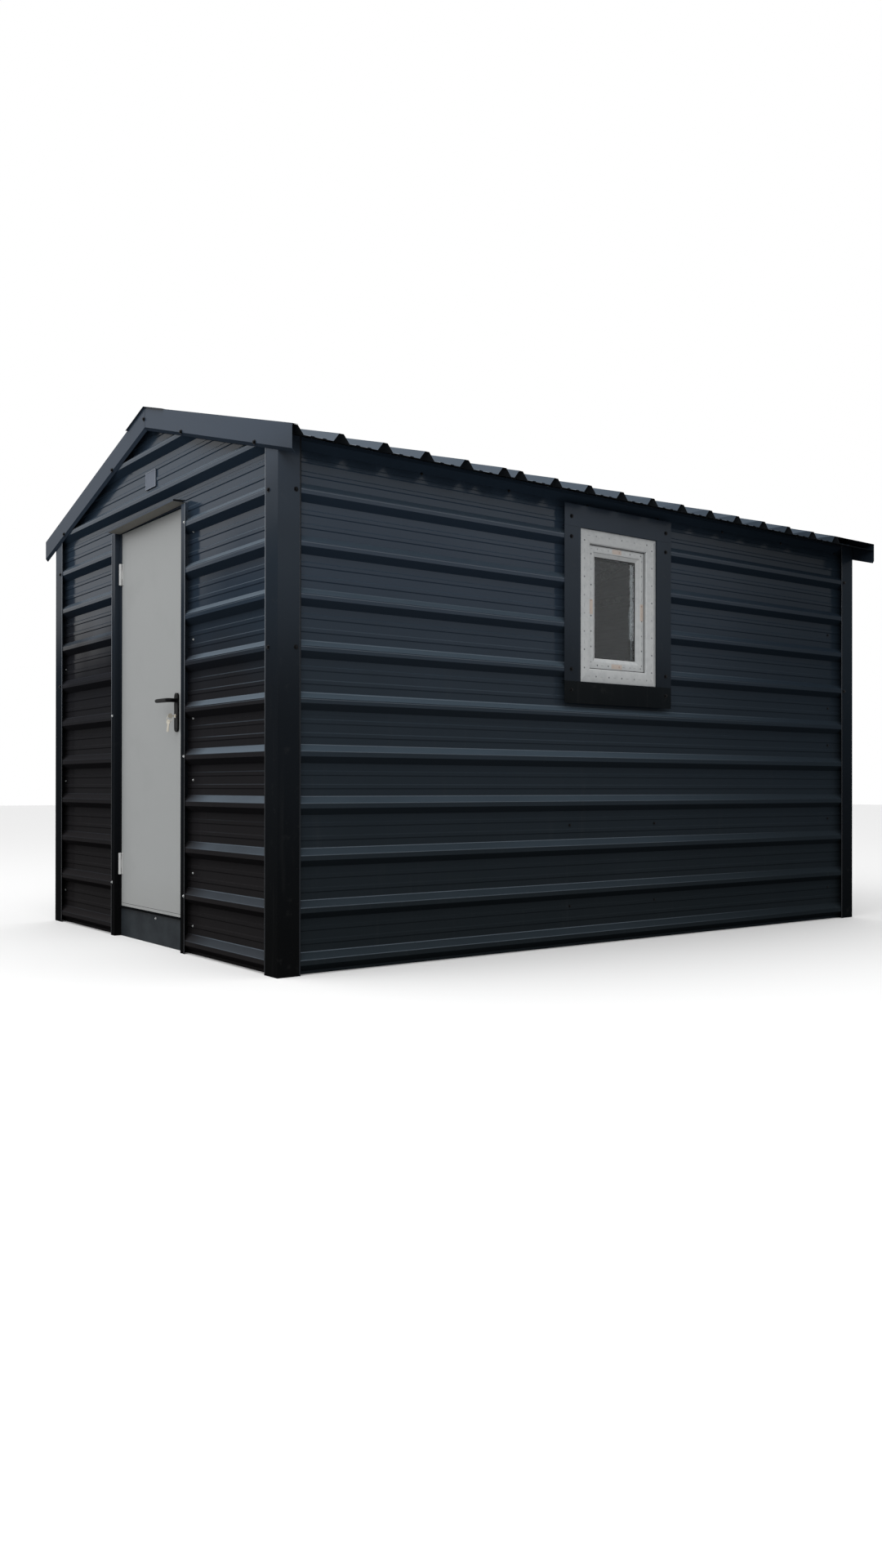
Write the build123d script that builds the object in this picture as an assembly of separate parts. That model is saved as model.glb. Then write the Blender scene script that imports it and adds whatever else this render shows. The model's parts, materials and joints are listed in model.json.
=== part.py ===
"""Metal tool shed: a frame of box section clad in ribbed sheet, with a gable roof, a door and a window.

Millimetres, Z up. The origin is on the ground under the middle of the whole shed. The gable end with the
door faces -Y, and the window is in the +X wall. A place on a wall is given as along, depth and height:
along is X on the gable ends and the distance behind the front wall on the side walls, and depth is measured
inwards from the plane of the wall's rib crests. On the doorway, along is X from its middle. A rise on the roof is measured square to the slope, up from
the plane of the roof's rib crests.
"""

from build123d import *
import math
import os

# Overall size, between the crest planes of facing walls
width = 2440.0
length = 3620.0
roof_pitch = 16.5  # degrees
roof_half = 1350.0  # from the ridge to each eave, level

# Ribbed sheet
sheet_t = 0.7
rib_h = 32.0
rib_pitch = 200.0
crest_w = 20.0
web_w = 26.0
swage_w = 21.0
swage_h = 2.5
swage_slope = 4.0
swage_off = 26.0  # from the middle of a pan
touch = 0.1  # gap between sheets that lie on each other
sheet_cover = 1000.0  # height that one wall sheet covers
first_crest = 48.0
lap_to_crest = 52.0  # from a sheet's bottom edge to its first crest
lap_hidden = 12.0  # how far a sheet reaches up behind the next
corner_gap = 2.0
roof_clear = 2.0

# Roof sheets, along the shed
roof_first_crest = -1.0
roof_lap = 1041.0
roof_lap_hidden = 6.0
roof_lap_to_crest = 48.0
ribless_end = 300.0  # at the back, bridged by the verge trim
ridge_gap = 3.0

# Frame of box section
tube = 40.0
tube_t = 2.0
mid_purlin_x = 620.0
weld_gap = 0.3
cut_past = 1.0  # how far a cut runs past what it cuts

# Verge trims, ridge cap and corner trims
verge_proud = 15.0
verge_h = 93.0
verge_drop = 13.0
verge_flange = 27.0
ridge_wing = 208.0
ridge_lap = 60.0
ridge_past = 9.0  # of the ridge cap past the verge trims
corner_leg = 100.0
trim_lip = 5.0

# Doorway
door_x = -10.0
frame_in_x = 353.0  # half the clear width of the door frame
frame_bar = 22.0
frame_back = 90.0
stop_w = 28.0
stop_t = 20.0
kick_top = 137.0
sill_t = 6.0
head_z = 1942.0
head_bar_h = 13.0
door_gap = 5.0
leaf_side_gap = 12.0
leaf_t = 44.0
leaf_depth = 21.0  # of the leaf's and the frame's outer faces
jamb_w = 42.0
head_reach = 40.0
head_h = 8.0
head_fall = 4.0
head_tilt = 12.0  # how much higher the head trim's right end was fixed

# Hinges and lock
hinge_zs = (350.0, 1741.0)
hinge_h = 102.0
hinge_fixed = 30.0
hinge_r = 7.0
pin_r = 3.5
pin_gap = 0.1
knuckle_gap = 0.3
hinge_out = 8.0  # axis in front of the leaf
hinge_in = 4.0  # axis beside the leaf's edge
flag_t = 3.0
flag_w = 8.0
flag_gap = 1.5
lock_from_edge = 51.0
lever_z = 1100.0
lock_z = 1031.0
plate_w = 36.0
plate_h = 172.0
plate_z = 1047.0
plate_t = 8.0
lever_len = 134.0
lever_h = 18.0
lever_t = 20.0
lever_off = 35.0
boss_r = 11.0
neck_r = 9.0
neck_gap = 0.2
spindle_r = 4.0
spindle_hole_r = 8.0
lock_r = 8.5
lock_gap = 0.3
lock_proud = 4.0
key_r = 8.5
key_t = 2.5

# Window in the right wall
window_y = 1803.0
window_w = 496.0
window_h = 700.0
window_z = 1200.0
window_border = 65.0
sash_border = 53.0
window_depth = 3.0
window_deep = 60.0
sash_depth = 17.0
sash_deep = 46.0
glass_depth = 33.0
glass_t = 24.0
fit_gap = 0.3
window_gap = 3.0
window_trim = 100.0
trim_return = 20.0
badge_w = 113.0
badge_h = 80.0
badge_t = 3.0
badge_x = -27.0
badge_z = 2095.0

# Worked out
slope = math.tan(math.radians(roof_pitch))
cosine = math.cos(math.radians(roof_pitch))
sine = math.sin(math.radians(roof_pitch))
layer = sheet_t + touch
skin = rib_h + sheet_t  # depth of the frame's outer face
bay_in = skin + tube
front_y = (head_reach - verge_proud - ridge_past - length) / 2
back_y = front_y + length
on_crests = -2 * layer - touch  # depth of a trim's inner face over the highest layer
verge_rise = 2 * layer
jamb_x = frame_in_x + frame_bar
leaf_x = frame_in_x - leaf_side_gap
leaf_bottom = kick_top + sill_t + door_gap
leaf_top = head_z - door_gap
leaf_back = leaf_depth + leaf_t
stop_front = leaf_back + door_gap
hinge_x = -leaf_x - hinge_in
hinge_depth = leaf_depth - hinge_out
lock_x = leaf_x - lock_from_edge
window_start = window_y - window_w / 2
window_end = window_y + window_w / 2
window_top = window_z + window_h
rafter_rise = -skin - tube - weld_gap
tie_z = head_z + sheet_t + head_bar_h
tie_top = tie_z + tube
# The crest planes of the two roof slopes meet here, so that the rafters' feet stand over the ties
ridge_z = tie_top + weld_gap + (width / 2 - bay_in) * slope + (tube - rafter_rise) / cosine


def roof_z(x, rise=0.0):
    """Height of the roof slope at x, rise above its crest plane."""
    return ridge_z - abs(x) * slope + rise / cosine


eave_rail_top = roof_z(width / 2 - skin, -skin) - weld_gap
eave_rail_z = eave_rail_top - tube
wall_top = roof_z(width / 2 + layer, -skin) - roof_clear


def place(wall, along, depth, z):
    """The point of a wall at a place along it, a depth in from its crest plane and a height."""
    if wall == "front":
        return Vector(along, front_y + depth, z)
    if wall == "door":
        return Vector(door_x + along, front_y + depth, z)
    if wall == "back":
        return Vector(along, back_y - depth, z)
    side = 1 if wall == "right" else -1
    return Vector(side * (width / 2 - depth), front_y + along, z)


def parallel_line(line, gap):
    """The line that runs beside an open line, gap away on its left, with mitred corners."""
    normals = []
    for (u0, v0), (u1, v1) in zip(line, line[1:]):
        run = math.hypot(u1 - u0, v1 - v0)
        normals.append(((v0 - v1) / run, (u1 - u0) / run))
    beside = []
    for i, (u, v) in enumerate(line):
        a = normals[max(i - 1, 0)]
        b = normals[min(i, len(normals) - 1)]
        share = gap / (1 + a[0] * b[0] + a[1] * b[1])
        beside.append((u + share * (a[0] + b[0]), v + share * (a[1] + b[1])))
    return beside


def prism(points, sweep):
    """The solid that a closed outline of points in one plane makes when it moves along sweep."""
    return Solid.extrude(Face(Wire.make_polygon(points, close=True)), Vector(sweep))


def folded(line, gap, where, sweep):
    """A folded sheet: an open line of (u, v) points, as thick as gap to its left, put in space by where."""
    outline = line + parallel_line(line, gap)[::-1]
    return prism([where(u, v) for u, v in outline], sweep)


def ribbed_line(start, end, crests):
    """The (position, height) points of a ribbed sheet's outer face from start to end."""
    points = []
    for crest in crests:
        foot = crest_w / 2 + web_w
        points += [(crest - foot, 0), (crest - crest_w / 2, rib_h)]
        points += [(crest + crest_w / 2, rib_h), (crest + foot, 0)]
        for swage in (crest + rib_pitch / 2 - swage_off, crest + rib_pitch / 2 + swage_off):
            foot = swage_w / 2
            points += [(swage - foot, 0), (swage - foot + swage_slope, swage_h)]
            points += [(swage + foot - swage_slope, swage_h), (swage + foot, 0)]

    def height(at):
        """Height of the outer face at a position."""
        for (p0, h0), (p1, h1) in zip(points, points[1:]):
            if p0 <= at <= p1:
                return h0 + (h1 - h0) * (at - p0) / (p1 - p0)
        return 0

    inside = [p for p in points if start < p[0] < end]
    return [(start, height(start)), *inside, (end, height(end))]


def crests_from(first, end):
    """Crest centres from the first, one pitch apart, whose ribs start before end."""
    count = math.ceil((end - first + crest_w / 2 + web_w) / rib_pitch)
    return [first + rib_pitch * k for k in range(count)]


def wall_sheet(wall, start, end, bottom, top, tier):
    """A ribbed wall sheet with level ribs. tier counts the sheets below it that it laps over."""
    lap = tier * sheet_cover
    first = lap + lap_to_crest if tier else first_crest
    line = ribbed_line(bottom, top, crests_from(first, top))

    def where(z, height):
        return place(wall, start, rib_h - height - tier * layer, z)

    return folded(line, -sheet_t, where, place(wall, end, 0, 0) - place(wall, start, 0, 0))


def slab(wall, start, end, outer, inner, bottom, top):
    """A plain block of a wall."""
    low, high = place(wall, start, outer, bottom), place(wall, end, inner, top)
    size = high - low
    return Pos((low + high) / 2) * Box(abs(size.X), abs(size.Y), abs(size.Z))


def bar(wall, start, end, outer, inner, bottom, top, way):
    """A box-section bar of the frame, hollow along its way: along, depth or up."""
    a, d, u = [-cut_past if way == name else tube_t for name in ("along", "depth", "up")]
    core = slab(wall, start + a, end - a, outer + d, inner - d, bottom + u, top - u)
    return slab(wall, start, end, outer, inner, bottom, top) - core


def save(name, *pieces):
    """Writes the solids of one sub-part."""
    solids = [solid for piece in pieces for solid in piece.solids()]
    export_step(solids[0] if len(solids) == 1 else Compound(solids), f"parts/{name}.step")
    print(name, len(solids))


def base_and_posts():
    """Base rails, posts, eave rails and cross ties."""
    half = width / 2
    ends = [bar(w, skin - half + tube, half - skin - tube, skin, bay_in, 0, tube, "along") for w in ("front", "back")]
    save("base_rails_ends", *ends)
    sides = [bar(w, skin, length - skin, skin, bay_in, 0, tube, "along") for w in ("left", "right")]
    save("base_rails_sides", *sides)
    posts = []
    trimmers = [window_start - window_gap - tube, window_end + window_gap]
    frames = [skin, *trimmers, length - bay_in]
    for wall in ("left", "right"):
        for start in frames:
            posts.append(bar(wall, start, start + tube, skin, bay_in, tube, eave_rail_z, "up"))
    posts.append(bar("back", -tube / 2, tube / 2, skin, bay_in, tube, tie_z, "up"))
    for x in (jamb_x + sheet_t, -jamb_x - sheet_t - tube):
        posts.append(bar("door", x, x + tube, skin, bay_in, tube, tie_z, "up"))
    save("posts", *posts)
    eaves = [bar(w, skin, length - skin, skin, bay_in, eave_rail_z, eave_rail_top, "along") for w in ("left", "right")]
    save("eave_rails", *eaves)
    reach = half - bay_in
    save("cross_ties", *[bar("front", -reach, reach, y, y + tube, tie_z, tie_top, "along") for y in frames])
    rafters(frames)
    levels = [window_z - window_gap - tube, window_top + window_gap]
    between = (trimmers[0] + tube, trimmers[1])
    rails = [bar("right", *between, skin, bay_in, z, z + tube, "along") for z in levels]
    rails.append(bar("door", -jamb_x, jamb_x, skin, bay_in, kick_top - tube, kick_top, "along"))
    save("sill_and_head_rails", *rails)


def rafters(frames):
    """A pair of rafters over each tie, cut plumb at the ridge and at the eave rail."""
    bars = []
    low = width / 2 - bay_in
    high = ridge_gap / 2
    for side in (-1, 1):
        for y in frames:

            def section(inset):
                """One rafter's outline at the ridge, smaller all round by inset."""
                y0, y1 = front_y + y + inset, front_y + y + tube - inset
                top = roof_z(high, rafter_rise - inset)
                bottom = roof_z(high, rafter_rise - tube + inset)
                return [(side * high, *p) for p in ((y0, bottom), (y1, bottom), (y1, top), (y0, top))]

            sweep = (side * (low - high), 0, -(low - high) * slope)
            bars.append(prism(section(0), sweep) - prism(section(tube_t), sweep))
    save("rafters", *bars)


def purlins():
    """The ridge purlin, and one purlin half way down each slope, all running the shed's length."""
    start, end = front_y + skin, back_y - skin
    top = roof_z(tube / 2, -skin) - weld_gap
    bottom = roof_z(0, rafter_rise) + weld_gap
    outer = Pos(0, (start + end) / 2, (top + bottom) / 2) * Box(tube, end - start, top - bottom)
    core = Box(tube - 2 * tube_t, end - start + 2 * cut_past, top - bottom - 2 * tube_t)
    bars = [outer - Pos(0, (start + end) / 2, (top + bottom) / 2) * core]
    for side in (-1, 1):

        def ring(inset):
            """The purlin's outline, square to the slope, smaller all round by inset."""
            points = []
            for run, drop in ((inset, inset), (tube - inset, inset), (tube - inset, tube - inset), (inset, tube - inset)):
                x = mid_purlin_x + run * cosine - (drop + weld_gap) * sine
                z = roof_z(mid_purlin_x, -skin) - run * sine - (drop + weld_gap) * cosine
                points.append((side * x, start, z))
            return points

        bars.append(prism(ring(0), (0, end - start, 0)) - prism(ring(tube_t), (0, end - start, 0)))
    save("roof_purlins", *bars)


def side_walls():
    """The sheets of the two side walls. The right wall's upper sheet stops round the window."""
    start, end = skin + corner_gap, length - skin - corner_gap
    lap_top = sheet_cover + lap_hidden
    for wall in ("left", "right"):
        save(f"{wall}_wall_lower_sheet", wall_sheet(wall, start, end, 0, lap_top, 0))
    save("left_wall_upper_sheet", wall_sheet("left", start, end, sheet_cover, wall_top, 1))
    hole = (window_start - window_gap, window_end + window_gap)
    beside = [wall_sheet("right", start, hole[0], sheet_cover, wall_top, 1)]
    beside.append(wall_sheet("right", hole[1], end, sheet_cover, wall_top, 1))
    save("right_wall_upper_sheets", *beside)
    across = (hole[0] + touch, hole[1] - touch)
    under = wall_sheet("right", *across, sheet_cover, window_z - window_gap, 1)
    over = wall_sheet("right", *across, window_top + window_gap, wall_top, 1)
    save("right_wall_window_sheets", under, over)


def gable_walls():
    """The sheets of the front and back walls, up into their gables."""
    far, drop = width, skin / cosine + roof_clear
    outline = [(-far, 0), (far, 0), (far, roof_z(far) - drop), (0, roof_z(0) - drop), (-far, roof_z(far) - drop)]
    under_roof = prism([(x, front_y - width, z) for x, z in outline], (0, length + 2 * width, 0))
    end = width / 2 - skin - corner_gap
    lap_1, lap_2 = sheet_cover, 2 * sheet_cover
    hole = jamb_x + sheet_t + touch
    spans = ((door_x + hole, end), (-end, door_x - hole))
    for tier, name, bottom, top in ((0, "lower", 0, lap_1 + lap_hidden), (1, "upper", lap_1, lap_2 + lap_hidden)):
        beside = [wall_sheet("front", *span, bottom, top, tier) & under_roof for span in spans]
        save(f"front_wall_{name}_sheets", *beside)
        save(f"back_wall_{name}_sheet", wall_sheet("back", -end, end, bottom, top, tier) & under_roof)
    over = wall_sheet("door", touch - hole, hole - touch, tie_z + touch, lap_2 + lap_hidden, 1)
    save("over_door_sheet", over & under_roof)
    for wall in ("front", "back"):
        save(f"{wall}_gable_sheet", wall_sheet(wall, -end, end, lap_2, ridge_z, 2) & under_roof)


def roof_sheets():
    """Two ribbed sheets on each slope, ribs down the slope, the rear one lapped over the front one."""
    edge = verge_proud - sheet_t - fit_gap
    spans = {
        "front": (-edge, roof_lap + roof_lap_hidden, roof_first_crest, roof_lap, 0),
        "rear": (roof_lap, length + edge, roof_lap + roof_lap_to_crest, length - ribless_end, 1),
    }
    for side, side_name in ((-1, "left"), (1, "right")):
        for name, (start, end, first, last, over) in spans.items():
            line = ribbed_line(start, end, crests_from(first, last - web_w))

            def where(y, height):
                return (side * ridge_gap, front_y + y, roof_z(ridge_gap, height - rib_h + over * layer))

            run = roof_half - ridge_gap
            sheet = folded(line, -sheet_t, where, (side * run, 0, -run * slope))
            save(f"roof_{side_name}_{name}_sheet", sheet)


def verge_trims():
    """The folded trims along the gable edges. The back one also bridges the ribless end of the roof."""
    last = crests_from(roof_lap + roof_lap_to_crest, length - ribless_end - web_w)[-1]
    wide = length - last + crest_w / 2
    top = verge_rise + layer
    for wall, flange in (("front", verge_flange - verge_proud), ("back", wide)):
        hem = (on_crests - 2 * sheet_t - touch, -verge_h - verge_drop)
        line = [(flange, 0), (-verge_proud, 0), (-verge_proud, -verge_h), hem]
        trims = []
        for side in (-1, 1):

            def where(depth, drop):
                x = side * ridge_gap / 2
                y = place(wall, 0, depth, 0).Y
                return (x, y, roof_z(x, top) + drop)

            run = roof_half - ridge_gap / 2
            trims.append(folded(line, sheet_t, where, (side * run, 0, -run * slope)))
        save(f"{wall}_verge_trims", *trims)


def ridge_cap():
    """Two lengths of ridge cap on the crests and verge trims, the rear one lapped over the front one."""
    half = length / 2 + verge_proud + ridge_past
    start = front_y - verge_proud - ridge_past
    caps = []
    for number, (y, run) in enumerate(((start, half + ridge_lap), (start + half, half))):
        rise = verge_rise + 2 * layer + number * layer
        edge = roof_z(ridge_wing, rise)
        line = [(-ridge_wing, edge), (0, roof_z(0, rise)), (ridge_wing, edge)]
        caps.append(folded(line, -sheet_t, lambda x, z, y=y: (x, y, z), (0, run, 0)))
    save("ridge_cap", *caps)


def corner_trims():
    """An angle on the crests of each corner of the walls."""
    out = sheet_t - on_crests
    line = [(corner_leg, 0), (0, 0), (0, corner_leg)]
    trims = []
    for end, way in ((front_y, 1), (back_y, -1)):
        for side in (-1, 1):
            x, y = side * (width / 2 + out), end - way * out

            def where(u, v):
                return (x - side * u, y + way * v, 0)

            trims.append(folded(line, -sheet_t, where, (0, 0, wall_top)))
    save("corner_trims", *trims)


def window():
    """Frame, sash, glass and the four trims round the window."""
    inner = (window_start + window_border, window_end - window_border)
    levels = (window_z + window_border, window_top - window_border)
    back = window_depth + window_deep
    frame = slab("right", window_start, window_end, window_depth, back, window_z, window_top)
    save("window_frame", frame - slab("right", *inner, window_depth - cut_past, back + cut_past, *levels))
    glass = (inner[0] + sash_border, inner[1] - sash_border)
    panes = (levels[0] + sash_border, levels[1] - sash_border)
    fit = [(inner[0] + fit_gap, inner[1] - fit_gap), (levels[0] + fit_gap, levels[1] - fit_gap)]
    back = sash_depth + sash_deep
    sash = slab("right", *fit[0], sash_depth, back, *fit[1])
    save("window_sash", sash - slab("right", *glass, sash_depth - cut_past, back + cut_past, *panes))
    pane = [(glass[0] + fit_gap, glass[1] - fit_gap), (panes[0] + fit_gap, panes[1] - fit_gap)]
    save("window_glass", slab("right", *pane[0], glass_depth, glass_depth + glass_t, *pane[1]))
    window_trims()


def window_trims():
    """Folded trims on the crests round the window frame. The head and sill trims lap over the side ones."""
    face = on_crests - sheet_t
    sides = []
    for edge, way in ((window_start, -1), (window_end, 1)):
        line = [(edge + way * fit_gap, trim_return), (edge + way * fit_gap, face), (edge + way * window_trim, face)]

        def where(along, depth):
            return place("right", along, depth, window_z)

        sides.append(folded(line, way * sheet_t, where, (0, 0, window_h)))
    save("window_side_trims", *sides)
    start, end = window_start - window_trim, window_end + window_trim
    for name, edge, way in (("sill", window_z, -1), ("head", window_top, 1)):
        lap = face - layer
        line = [(trim_return, edge + way * fit_gap), (lap, edge + way * fit_gap), (lap, edge + way * window_trim)]
        if way < 0:
            line.append((lap + trim_lip, edge + way * window_trim))

        def where(depth, z):
            return place("right", start, depth, z)

        sheet = folded(line, -way * sheet_t, where, place("right", end, 0, 0) - place("right", start, 0, 0))
        save(f"window_{name}_trim", sheet)


def doorway():
    """Door frame, stops, kick plate and the folded trims round the doorway."""
    edges = ((frame_in_x, jamb_x), (-jamb_x, -frame_in_x))
    sill_top = kick_top + sill_t
    save("door_frame_sides", *[slab("door", *x, leaf_depth, frame_back, sill_top, head_z) for x in edges])
    save("door_frame_head", slab("door", -jamb_x, jamb_x, leaf_depth, frame_back, head_z + sheet_t, tie_z))
    save("door_frame_sill", slab("door", -jamb_x, jamb_x, leaf_depth, frame_back, kick_top, sill_top))
    inner = frame_in_x - stop_w
    stops = [slab("door", *x, stop_front, stop_front + stop_t, sill_top, head_z) for x in
             ((inner, frame_in_x - touch), (touch - frame_in_x, -inner))]
    stops.append(slab("door", touch - inner, inner - touch, stop_front, stop_front + stop_t, head_z - stop_w, head_z))
    save("door_stops", *stops)
    save("kick_plate", slab("door", -jamb_x, jamb_x, skin - sheet_t, skin, 0, kick_top))
    face = on_crests - sheet_t
    trims = []
    for way in (-1, 1):
        line = [(way * jamb_x, skin - sheet_t), (way * jamb_x, face), (way * (jamb_x + jamb_w), face)]
        trims.append(folded(line, way * sheet_t, lambda x, d: place("door", x, d, 0), (0, 0, head_z)))
    save("door_jamb_trims", *trims)
    high = head_z + head_h
    line = [(leaf_depth - touch, high + head_fall), (-head_reach, high)]
    line += [(-head_reach, head_z), (leaf_depth - touch, head_z)]
    head = folded(line, sheet_t, lambda d, z: place("door", -jamb_x, d, z), (2 * jamb_x, 0, head_tilt))
    save("door_head_trim", head)


def rod(x, depth, far, z, radius):
    """A round bar square to the door, from one depth to another."""
    middle = place("door", x, (depth + far) / 2, z)
    return Pos(middle) * Rot(90, 0, 0) * Cylinder(radius, abs(far - depth))


def upright(x, depth, z, height, radius):
    """A round bar that stands in the doorway, from height z up."""
    return Pos(place("door", x, depth, z + height / 2)) * Cylinder(radius, height)


def door():
    """The door leaf and what is fixed to it."""
    leaf = slab("door", -leaf_x, leaf_x, leaf_depth, leaf_back, leaf_bottom, leaf_top)
    through = (leaf_depth - cut_past, leaf_back + cut_past)
    leaf -= rod(lock_x, *through, lever_z, spindle_hole_r)
    leaf -= rod(lock_x, *through, lock_z, lock_r + lock_gap)
    save("door_leaf", leaf)
    plates = []
    half, ends = plate_w / 2, (plate_h - plate_w) / 2
    for depth, far in ((leaf_depth - plate_t, leaf_depth), (leaf_back, leaf_back + plate_t)):
        plate = slab("door", lock_x - half, lock_x + half, depth, far, plate_z - ends, plate_z + ends)
        for z in (plate_z - ends, plate_z + ends):
            plate += rod(lock_x, depth, far, z, half)
        through = (depth - cut_past, far + cut_past)
        plate -= rod(lock_x, *through, lever_z, neck_r + neck_gap)
        plates.append(plate - rod(lock_x, *through, lock_z, lock_r + lock_gap))
    save("handle_plates", *plates)
    ends = (leaf_depth - plate_t - lock_proud, leaf_back + plate_t + lock_proud)
    save("lock_cylinder", rod(lock_x, *ends, lock_z, lock_r))
    bow = Rot(0, 90, 0) * Cylinder(key_r, key_t)
    save("key", Pos(place("door", lock_x, ends[0] - key_r - touch, lock_z)) * bow)


def lever():
    """The lever handles inside and outside, one piece with their spindle."""
    out, back = leaf_depth - lever_off, leaf_back + lever_off
    piece = rod(lock_x, out, back, lever_z, spindle_r)
    for start, end, far in ((leaf_depth - fit_gap, out, out - lever_t), (leaf_back + fit_gap, back, back + lever_t)):
        low, high = min(end, far), max(end, far)
        tip = lock_x - lever_len + lever_h / 2
        piece += rod(lock_x, min(start, end), max(start, end), lever_z, neck_r)
        piece += rod(lock_x, low, high, lever_z, boss_r)
        piece += slab("door", tip, lock_x, low, high, lever_z - lever_h / 2, lever_z + lever_h / 2)
        piece += rod(tip, low, high, lever_z, lever_h / 2)
    save("lever_handle", piece)


def hinges():
    """Two pin hinges. The frame's part has the outer knuckles and the pin, the leaf's part the middle one."""
    fixed, moving = [], []
    face = (leaf_depth - flag_t, leaf_depth)
    clear = hinge_r + flag_gap
    for middle in hinge_zs:
        low, high = middle - hinge_h / 2, middle + hinge_h / 2
        flag = slab("door", hinge_x - clear - flag_w, hinge_x - clear, *face, low, high)
        for z in (low, high - hinge_fixed):
            flag += slab("door", hinge_x - clear, hinge_x, *face, z, z + hinge_fixed)
            flag += upright(hinge_x, hinge_depth, z, hinge_fixed, hinge_r)
        fixed.append(flag + upright(hinge_x, hinge_depth, low, hinge_h, pin_r))
        z, height = low + hinge_fixed + knuckle_gap, hinge_h - 2 * (hinge_fixed + knuckle_gap)
        flag = slab("door", hinge_x + clear, hinge_x + clear + flag_w, *face, low, high)
        flag += slab("door", hinge_x, hinge_x + clear, *face, z, z + height)
        flag += upright(hinge_x, hinge_depth, z, height, hinge_r)
        bore = upright(hinge_x, hinge_depth, low - cut_past, hinge_h + 2 * cut_past, pin_r + pin_gap)
        moving.append(flag - bore)
    save("hinge_frame_parts", *fixed)
    save("hinge_leaf_parts", *moving)


def badge():
    """The bare plate on the front gable, lying on the swages of its pan."""
    depth = rib_h - 2 * layer - swage_h - touch
    ends = (badge_x - badge_w / 2, badge_x + badge_w / 2)
    save("badge_plate", slab("front", *ends, depth - badge_t, depth, badge_z, badge_z + badge_h))


os.makedirs("parts", exist_ok=True)
base_and_posts()
purlins()
side_walls()
gable_walls()
roof_sheets()
verge_trims()
ridge_cap()
corner_trims()
window()
doorway()
door()
lever()
hinges()
badge()

print("hinge axis", door_x + hinge_x, front_y + hinge_depth)
print("lever axis", door_x + lock_x, front_y + leaf_depth, lever_z)
print("base rail", width / 2 - skin, width / 2 - bay_in, front_y + skin, back_y - skin)
print("room", width / 2 - bay_in, front_y + leaf_back + lever_off + lever_t, back_y - bay_in, tie_z)
print("doorway", door_x, frame_in_x - stop_w, front_y + stop_front, kick_top + sill_t, head_z - stop_w)
print("plate", plate_z - plate_h / 2, plate_z + plate_h / 2)
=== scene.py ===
# %% [markdown]
# # A metal tool shed
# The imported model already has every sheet, bar, trim and moving piece at its real place and size. Blender
# adds what a surface needs to look real: the satin coating and its dust, the screws, the window in its
# protective film, the door's edges and fittings, and a plain studio to see them in. We start by loading the
# model. It is a fixed frame: nothing in it is moved, and new pieces ride on its bodies.

# %% Load the frame
import json
import math
import random

import bmesh
import bpy
from mathutils import Matrix, Vector


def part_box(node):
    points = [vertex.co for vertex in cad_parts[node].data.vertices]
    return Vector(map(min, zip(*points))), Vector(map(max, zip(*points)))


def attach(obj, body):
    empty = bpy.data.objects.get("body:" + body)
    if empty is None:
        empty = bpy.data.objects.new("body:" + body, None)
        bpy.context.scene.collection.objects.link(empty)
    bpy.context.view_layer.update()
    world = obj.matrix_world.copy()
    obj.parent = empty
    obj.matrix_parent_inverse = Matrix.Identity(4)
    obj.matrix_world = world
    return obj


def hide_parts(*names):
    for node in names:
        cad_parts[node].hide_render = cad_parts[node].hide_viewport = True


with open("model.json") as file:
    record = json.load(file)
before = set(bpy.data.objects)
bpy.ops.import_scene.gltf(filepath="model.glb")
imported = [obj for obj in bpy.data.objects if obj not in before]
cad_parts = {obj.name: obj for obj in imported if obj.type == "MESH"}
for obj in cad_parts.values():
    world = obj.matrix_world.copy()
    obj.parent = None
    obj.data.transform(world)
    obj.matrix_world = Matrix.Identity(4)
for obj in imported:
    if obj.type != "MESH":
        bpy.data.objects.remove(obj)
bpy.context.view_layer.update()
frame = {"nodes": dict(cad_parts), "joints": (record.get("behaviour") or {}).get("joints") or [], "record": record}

# %% [markdown]
# ## Places on the shed
# Every later step puts something on a wall, so one function turns a place on a wall into a point in space.
# A place is given as a fitter would measure it, in millimetres: along the wall, in from the plane of its
# rib crests, and up. The planes themselves are read from the model's own boxes, so the pieces follow the
# model.

# %% A place on a wall
MM = 0.001
wall_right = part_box("right_wall_lower_sheet")[1].x
wall_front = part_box("front_wall_lower_sheets")[0].y
wall_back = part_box("back_wall_lower_sheet")[1].y
length = (wall_back - wall_front) / MM
OUT = {
    "front": Vector((0, -1, 0)),
    "back": Vector((0, 1, 0)),
    "right": Vector((1, 0, 0)),
    "left": Vector((-1, 0, 0)),
}


def on_wall(wall, along, depth, z):
    """The point of a place on a wall. Along is x on a gable wall, and runs from the front on a side wall."""
    along, depth, z = along * MM, depth * MM, z * MM
    if wall == "front":
        return Vector((along, wall_front + depth, z))
    if wall == "back":
        return Vector((along, wall_back - depth, z))
    side = 1 if wall == "right" else -1
    return Vector((side * (wall_right - depth), wall_front + along, z))


print("walls", round(2 * wall_right, 3), "by", round(length * MM, 3), "m")

# %% A place on the roof
roof_pitch = math.radians(16.5)
ridge_gap = 3.0
ridge_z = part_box("roof_right_front_sheet")[1].z / MM + ridge_gap * math.tan(roof_pitch)


def on_roof(x, y, rise):
    """The point at x and y, a rise above the roof's crest plane. The y is from the front wall."""
    level = ridge_z - abs(x) * math.tan(roof_pitch)
    lean = math.copysign(math.sin(roof_pitch), x)
    z = level + rise * math.cos(roof_pitch)
    return Vector((x * MM + lean * rise * MM, wall_front + y * MM, z * MM))


print("ridge of the crest planes at", round(ridge_z), "mm")

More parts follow.
